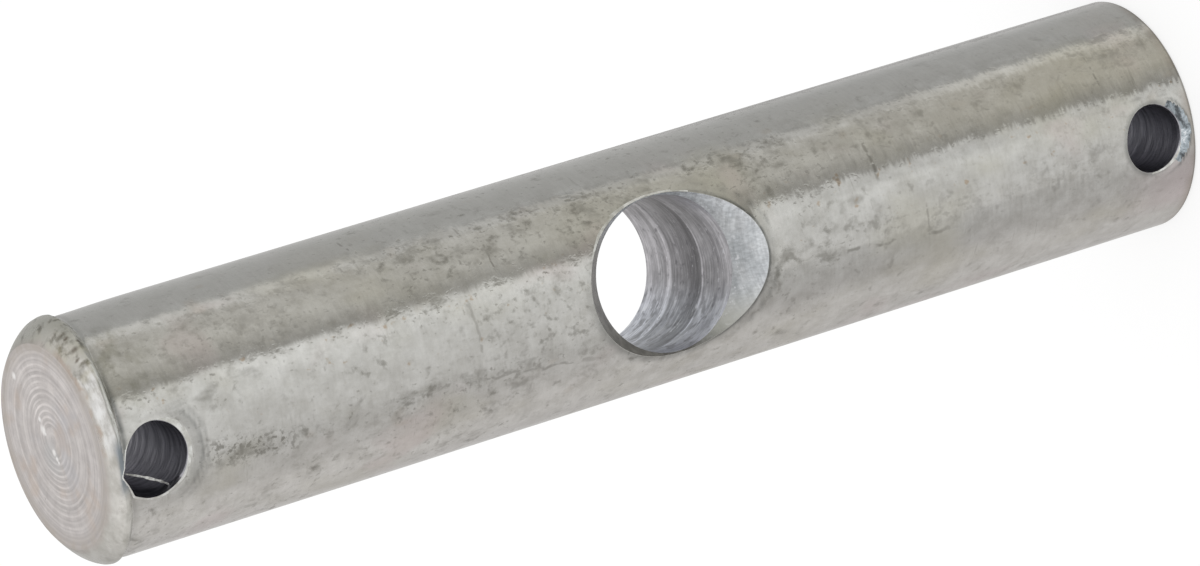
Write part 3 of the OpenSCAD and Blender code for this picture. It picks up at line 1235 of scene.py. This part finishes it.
def turned_face():
    """The flat end: pinkish steel with feed rings about a point beside the bar's axis."""
    t = Steel("turned_face")
    flat_place = t.joined(t.x, t.y, 0.0)
    off = t.joined(t.sub(t.x, RING_CENTRE[0]), t.sub(t.y, RING_CENTRE[1]), 0.0)
    radius = t.vector("LENGTH", off)
    wobble = t.mul(t.grain(0.5, 0.5), 0.35)
    rings = t.noise(t.joined(t.add(t.mul(radius, 1.8), wobble), 0.0, 0.0), 2.0, 0.6)
    ring = t.math("SINE", t.mul(t.add(radius, t.mul(wobble, 0.25)), 2.0 * math.pi / RING_PITCH))
    mottle = t.grain(0.8, 0.8, 4.0, 0.65)
    base = t.mixed(t.between(mottle, 0.3, 0.7), (0.525, 0.503, 0.492), (0.635, 0.612, 0.599))
    # painted light: the face is painted brighter towards +x
    base = t.shade(base, t.between(t.x, -7.0, 7.5, 0.985, 1.075))
    # painted highlights and shade of the feed rings
    base = t.shade(base, t.between(rings, 0.30, 0.70, 0.86, 1.13))
    ring_highlights = t.shade(base, t.between(ring, -0.3, 1.0, 0.94, 1.25))
    base = t.mixed(ring_strength(t, radius), base, ring_highlights)
    tan = t.between(t.grain(0.30, 0.30), 0.54, 0.70, 0.0, 0.45)
    base = t.tint(base, tan, (0.58, 0.48, 0.40))
    cool = t.between(t.scaled_grain((0.25, 0.3, 0.3), 7.0), 0.55, 0.72, 0.0, 0.4)
    base = t.tint(base, cool, (0.50, 0.51, 0.54))
    base = face_spots(t, base, flat_place)
    height = t.add(rings, t.mul(ring, 0.3))
    return t.finish(base, 0.34, t.bump(height, 0.014 * MM))


def sawn_end():
    """The plain end: straight saw marks, slightly dulled."""
    t = Steel("sawn_end")
    marks = t.noise(t.scaled(t.mm, 0.12, 5.0, 1.0), 3.0, 0.6)
    mottle = t.grain(0.5, 0.5, 3.0, 0.6)
    base = t.mixed(t.between(marks, 0.3, 0.7), (0.40, 0.39, 0.37), (0.55, 0.54, 0.52))
    base = t.tint(base, t.between(mottle, 0.5, 0.75, 0.0, 0.4), (0.34, 0.31, 0.28))
    return t.finish(base, 0.34, t.bump(marks, 0.02 * MM))


# Painted light and shade of the middle bore's wall at places along it, from its front to its back: dark
# deep in the bore, pale near both mouths, with thin bright and dark lines. The colour ramp spans BORE_SPAN
# millimetres, and the bar's axis stands at BORE_AXIS_SHARE of it.
BORE_SPAN = 14.0
BORE_AXIS_SHARE = 0.53
BORE_TINT = (0.985, 0.985, 1.03)
BORE_PAINTED_SHADE = [
    (-7.4, 0.52), (-6.3, 0.46), (-5.5, 0.38), (-4.6, 0.26), (-3.4, 0.33), (-2.75, 0.30), (-2.5, 0.46),
    (-2.3, 0.14), (-1.6, 0.16), (-0.6, 0.18), (0.3, 0.24), (1.3, 0.29), (2.3, 0.22), (2.8, 0.50),
    (3.3, 0.33), (5.2, 0.42), (6.5, 0.48),
]


def bore_painted_shade(t, along):
    """The wall's painted light and shade at each place along the bore."""
    sway = t.swing(t.grain(0.22, 0.22), 0.9)
    share = t.math("MULTIPLY_ADD", t.add(along, sway), 1.0 / BORE_SPAN, BORE_AXIS_SHARE)
    stops = []
    for y, tone in BORE_PAINTED_SHADE:
        place = min(max(y / BORE_SPAN + BORE_AXIS_SHARE, 0.0), 1.0)
        stops.append((place, tuple(tone * c for c in BORE_TINT)))
    return t.ramp(share, stops)


def bore_specks(t, base, slanted):
    """Pale scores and dark spots low in the bore, and pale and dark specks all over."""
    low_side = t.between(t.x, -2.0, -4.8)
    scores = t.noise(t.scaled(slanted, 0.6, 2.6, 0.25), 4.0, 0.65)
    scores = t.mul(t.between(scores, 0.53, 0.66), low_side)
    base = t.tint(base, t.mul(scores, 0.75), (0.66, 0.68, 0.72))
    dark = t.mul(t.between(t.scaled_grain((0.8, 1.2, 0.8), 3.0), 0.50, 0.64), low_side)
    base = t.tint(base, t.mul(dark, 0.55), (0.13, 0.13, 0.14))
    specks = t.between(t.grain(1.5, 1.5, 3.0, 0.6), 0.63, 0.74)
    base = t.tint(base, t.mul(specks, 0.55), (0.70, 0.72, 0.76))
    pores = t.between(t.scaled_grain((1.3, 1.6, 1.3), 11.0), 0.60, 0.74)
    return t.tint(base, t.mul(pores, 0.55), (0.09, 0.09, 0.10))


def bore_wall():
    """Wall of the middle bore: grey feed marks, with painted shade dark in the middle and painted light
    pale near both mouths.
    """
    t = Steel("bore_wall")
    along = t.sub(t.y, t.mul(t.x, 0.13))
    slanted = t.joined(t.x, along, t.z)
    base = bore_painted_shade(t, along)
    marks = t.noise(t.scaled(slanted, 0.16, 2.6, 0.16), 4.0, 0.68)
    fine = t.noise(t.scaled(slanted, 0.5, 6.0, 0.5))
    both = t.add(t.mul(marks, 0.65), t.mul(fine, 0.35))
    base = t.shade(base, t.between(both, 0.36, 0.64, 0.74, 1.24))
    mottle = t.grain(0.7, 0.7, 4.0, 0.65)
    base = t.shade(base, t.between(mottle, 0.32, 0.68, 0.84, 1.16))
    # paler towards the low side as painted light, and bluer there in tone
    paler = t.mixed(t.between(t.x, -2.0, -5.5), (1.0, 1.0, 1.0), (1.74, 1.80, 1.90))
    base = t.mixed(1.0, base, paler, "MULTIPLY")
    base = bore_specks(t, base, slanted)
    height = t.add(marks, t.mul(fine, 0.4))
    return t.finish(base, 0.30, t.bump(height, 0.032 * MM))


def bore_flare():
    """Countersinks of the middle bore: bluish steel with fine crossed scratches."""
    t = Steel("bore_flare")
    lines = t.noise(t.scaled(t.mm, 0.35, 0.3, 5.0), 3.0, 0.6)
    cross = t.noise(t.scaled(t.mm, 5.0, 2.8, 0.30), 3.0, 0.6)
    patch = t.grain(0.45, 0.45, 3.0, 0.6)
    base = t.mixed(t.between(patch, 0.35, 0.65), (0.495, 0.53, 0.55), (0.56, 0.59, 0.605))
    base = t.shade(base, t.between(lines, 0.3, 0.7, 0.87, 1.13))
    base = t.shade(base, t.between(cross, 0.3, 0.7, 0.87, 1.13))
    # painted shade: duller beside the bore than at the mouth
    radius = t.vector("LENGTH", t.joined(t.x, 0.0, t.sub(t.z, HOLES["middle"].z)))
    base = t.shade(base, t.between(radius, 6.7, 8.4, 0.82, 1.10))
    olive = t.between(t.x, -2.5, -5.2, 0.0, 0.75)
    base = t.tint(base, olive, (0.48, 0.49, 0.455))
    # painted light: paler towards the upper side
    base = t.tint(base, t.between(t.x, 2.6, 5.2, 0.0, 0.50), (0.80, 0.83, 0.87))
    # torn, pale spots beside the bore
    spots = t.mul(t.between(t.grain(1.6, 1.6, 3.0, 0.6), 0.58, 0.70), t.between(t.y, -7.7, -8.6, 1.0, 0.2))
    base = t.tint(base, t.mul(spots, 0.45), (0.85, 0.87, 0.90))
    soil = t.mul(t.between(t.scaled_grain((1.4, 1.4, 1.4), 5.0), 0.60, 0.74), 0.2)
    base = t.tint(base, soil, (0.20, 0.21, 0.21))
    # the side towards the lip shows only the bore's dark wall: a thin dull film keeps it grey
    towards = t.sub(t.mul(t.sub(t.z, HOLES["middle"].z), 0.8), t.mul(t.x, 0.6))
    film = t.between(towards, -1.0, 3.5)
    base = t.tint(base, film, (0.205, 0.198, 0.180))
    # rough and mottled on the upper side and on the film
    rough_skin = t.grain(1.4, 1.4, 4.0, 0.68)
    shown = t.most(film, t.between(t.x, 2.2, 4.2))
    base = t.mixed(shown, base, t.shade(base, t.between(rough_skin, 0.34, 0.66, 0.74, 1.22)))
    metal = t.mul(t.between(film, 0.0, 1.0, 1.0, 0.25), t.between(t.x, 3.0, 5.5, 1.0, 0.6))
    t.put(t.shader.inputs["Metallic"], metal)
    return t.finish(base, 0.30, t.bump(t.add(lines, cross), 0.008 * MM))


def hole_wall():
    """Walls of the small holes: dark feed marks, their darkness painted shade inside the holes."""
    t = Steel("hole_wall")
    marks = t.noise(t.scaled(t.mm, 0.3, 2.6, 0.3), 3.0, 0.6)
    base = t.mixed(t.between(marks, 0.35, 0.65), (0.22, 0.22, 0.245), (0.40, 0.40, 0.43))
    base = t.shade(base, t.between(t.z, 10.0, 90.0, 1.22, 1.17))
    return t.finish(base, 0.34, t.bump(marks, 0.035 * MM))


def hole_rim():
    """Rims and chips of the mouths: pale steel, painted pale as highlights along their edges."""
    t = Steel("hole_rim")
    patch = t.grain(1.1, 1.1, 3.0, 0.6)
    base = t.mixed(t.between(patch, 0.35, 0.65), (0.52, 0.52, 0.49), (0.80, 0.81, 0.80))
    return t.finish(base, 0.34, t.bump(patch, 0.03 * MM))


def far_dish():
    """The dish beside the lower hole: bluish and torn, with its bright and dark facets painted as
    highlights and shade.
    """
    t = Steel("far_dish")
    torn = t.grain(0.9, 1.2, 4.0, 0.7, 0.6)
    # bluish tone, with painted shade and painted highlights for the facets
    tones = [
        (0.38, (0.10, 0.11, 0.12)),
        (0.48, (0.30, 0.34, 0.37)),
        (0.58, (0.47, 0.53, 0.58)),
        (0.69, (0.85, 0.89, 0.93)),
    ]
    base = t.ramp(torn, tones)
    return t.finish(base, 0.25, t.bump(torn, 0.15 * MM))


def burr():
    """The burr in the upper hole: dull, torn, pale metal."""
    t = Steel("burr")
    torn = t.grain(1.6, 1.6, 3.0, 0.6)
    base = t.mixed(t.between(torn, 0.35, 0.62), (0.22, 0.22, 0.21), (0.62, 0.62, 0.60))
    t.shader.inputs["Metallic"].default_value = 0.35
    return t.finish(base, 0.55, t.bump(torn, 0.04 * MM))


def make_camera():
    """The photograph's camera, rolled so that the shaft lies across the picture."""
    az = math.radians(CAMERA_AZIMUTH)
    el = math.radians(CAMERA_ELEVATION)
    roll = math.radians(CAMERA_ROLL)
    back = Vector((math.sin(az) * math.cos(el), -math.cos(az) * math.cos(el), math.sin(el)))
    right = (-back).cross(Vector((0, 0, 1))).normalized()
    up = right.cross(-back)
    rolled_right = right * math.cos(roll) + up * math.sin(roll)
    rolled_up = up * math.cos(roll) - right * math.sin(roll)
    data = bpy.data.cameras.new("camera")
    data.sensor_fit = "HORIZONTAL"
    data.sensor_width = 36.0
    data.lens = CAMERA_LENS
    data.shift_x, data.shift_y = CAMERA_SHIFT
    data.clip_start = 0.05
    data.clip_end = 20.0
    camera = bpy.data.objects.new("camera", data)
    matrix = Matrix((rolled_right, rolled_up, back)).transposed().to_4x4()
    matrix.translation = Vector((0, 0, CAMERA_TARGET_Z * MM)) + back * CAMERA_DISTANCE * MM
    camera.matrix_world = matrix
    bpy.context.scene.collection.objects.link(camera)
    bpy.context.scene.camera = camera


def make_shaft():
    """The one visible piece, which stands in for the CAD node."""
    shaft = bpy.data.objects.new("shaft", build_mesh())
    bpy.context.scene.collection.objects.link(shaft)
    makers = {
        "drawn_bar": drawn_bar,
        "lip": lip,
        "turned_face": turned_face,
        "sawn_end": sawn_end,
        "bore_wall": bore_wall,
        "bore_flare": bore_flare,
        "hole_wall": hole_wall,
        "hole_rim": hole_rim,
        "far_dish": far_dish,
        "burr": burr,
    }
    for name in FINISHES:
        shaft.data.materials.append(makers[name]())
    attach(shaft, "root")
    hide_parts("lever_shaft")
    return shaft


# The studio: turn from the camera in degrees, brightness and tint of what stands there
CARDS = [
    (-180, 0.64, (1.00, 0.98, 0.965)),
    (-150, 0.66, (1.00, 0.97, 0.955)),
    (-126, 0.76, (1.00, 0.97, 0.95)),
    (-100, 0.81, (1.00, 0.97, 0.95)),
    (-74, 0.76, (1.00, 0.975, 0.955)),
    (-58, 0.76, (1.00, 0.985, 0.965)),
    (-38, 0.88, (1.00, 0.99, 0.972)),
    (-16, 0.94, (1.00, 0.995, 0.977)),
    (6, 1.02, (1.00, 1.00, 0.982)),
    (22, 1.14, (1.00, 1.00, 0.98)),
    (28, 0.475, (1.00, 0.98, 0.925)),
    (37, 0.58, (1.00, 0.98, 0.915)),
    (52, 0.76, (1.00, 0.98, 0.915)),
    (82, 0.73, (1.00, 0.98, 0.925)),
    (87, 0.93, (1.00, 0.99, 0.96)),
    (94, 0.91, (1.00, 0.99, 0.96)),
    (98, 0.59, (1.00, 1.00, 0.98)),
    (125, 0.575, (1.00, 1.00, 0.98)),
    (155, 0.595, (1.00, 1.00, 0.985)),
    (180, 0.64, (1.00, 0.98, 0.965)),
]
CEILING = (1.00, 0.97, 0.965)
# The walls turn to ceiling between these heights, of 0 for level and 1 for straight up
CEILING_FROM = 0.15
CEILING_TO = 0.75
# Half the width of the floor in metres, its grey, and its own glow that makes it look white
FLOOR = 4.0
FLOOR_TONE = (0.28, 0.28, 0.28, 1.0)
FLOOR_GLOW = 0.75


def make_world():
    """A white studio: plain white to the eye, and pale walls and grey cards to the metal."""
    world = bpy.data.worlds.new("studio")
    bpy.context.scene.world = world
    world.use_nodes = True
    t = Tree(world.node_tree)
    t.nodes.clear()
    direction = t.nodes.new("ShaderNodeTexCoord").outputs["Generated"]
    turn = math.radians(CAMERA_AZIMUTH)
    front = t.vector("DOT_PRODUCT", direction, (math.sin(turn), -math.cos(turn), 0.0))
    across = t.vector("DOT_PRODUCT", direction, (math.cos(turn), math.sin(turn), 0.0))
    share = t.math("MULTIPLY_ADD", t.math("ARCTAN2", across, front), 1.0 / (2.0 * math.pi), 0.5)
    stops = [((a + 180) / 360, tuple(v * c for c in tint)) for a, v, tint in CARDS]
    walls = t.ramp(share, stops)
    _, _, up = t.split(direction)
    studio = t.mixed(t.between(up, CEILING_FROM, CEILING_TO), walls, CEILING)
    white = t.nodes.new("ShaderNodeBackground")
    white.inputs["Color"].default_value = (1.0, 1.0, 1.0, 1.0)
    shown = t.nodes.new("ShaderNodeBackground")
    t.put(shown.inputs["Color"], studio)
    mix = t.nodes.new("ShaderNodeMixShader")
    ray = t.nodes.new("ShaderNodeLightPath")
    t.put(mix.inputs["Fac"], ray.outputs["Is Glossy Ray"])
    t.links.new(white.outputs[0], mix.inputs[1])
    t.links.new(shown.outputs[0], mix.inputs[2])
    out = t.nodes.new("ShaderNodeOutputWorld")
    t.links.new(mix.outputs[0], out.inputs["Surface"])


def make_floor():
    """A pale floor that shows the shaft's shadow and stays out of its reflections."""
    corners = [(-FLOOR, -FLOOR, 0), (FLOOR, -FLOOR, 0), (FLOOR, FLOOR, 0), (-FLOOR, FLOOR, 0)]
    mesh = bpy.data.meshes.new("floor")
    mesh.from_pydata(corners, [], [(0, 1, 2, 3)])
    floor = bpy.data.objects.new("floor", mesh)
    bpy.context.scene.collection.objects.link(floor)
    material = bpy.data.materials.new("floor")
    material.use_nodes = True
    shader = material.node_tree.nodes["Principled BSDF"]
    shader.inputs["Base Color"].default_value = FLOOR_TONE
    shader.inputs["Roughness"].default_value = 0.9
    shader.inputs["Specular IOR Level"].default_value = 0.0
    shader.inputs["Emission Color"].default_value = (1, 1, 1, 1)
    shader.inputs["Emission Strength"].default_value = FLOOR_GLOW
    mesh.materials.append(material)
    floor.visible_glossy = False


make_camera()
shaft = make_shaft()
make_world()
make_floor()
bpy.context.scene.view_settings.view_transform = "Standard"

print("triangles", sum(len(p.vertices) - 2 for p in shaft.data.polygons))
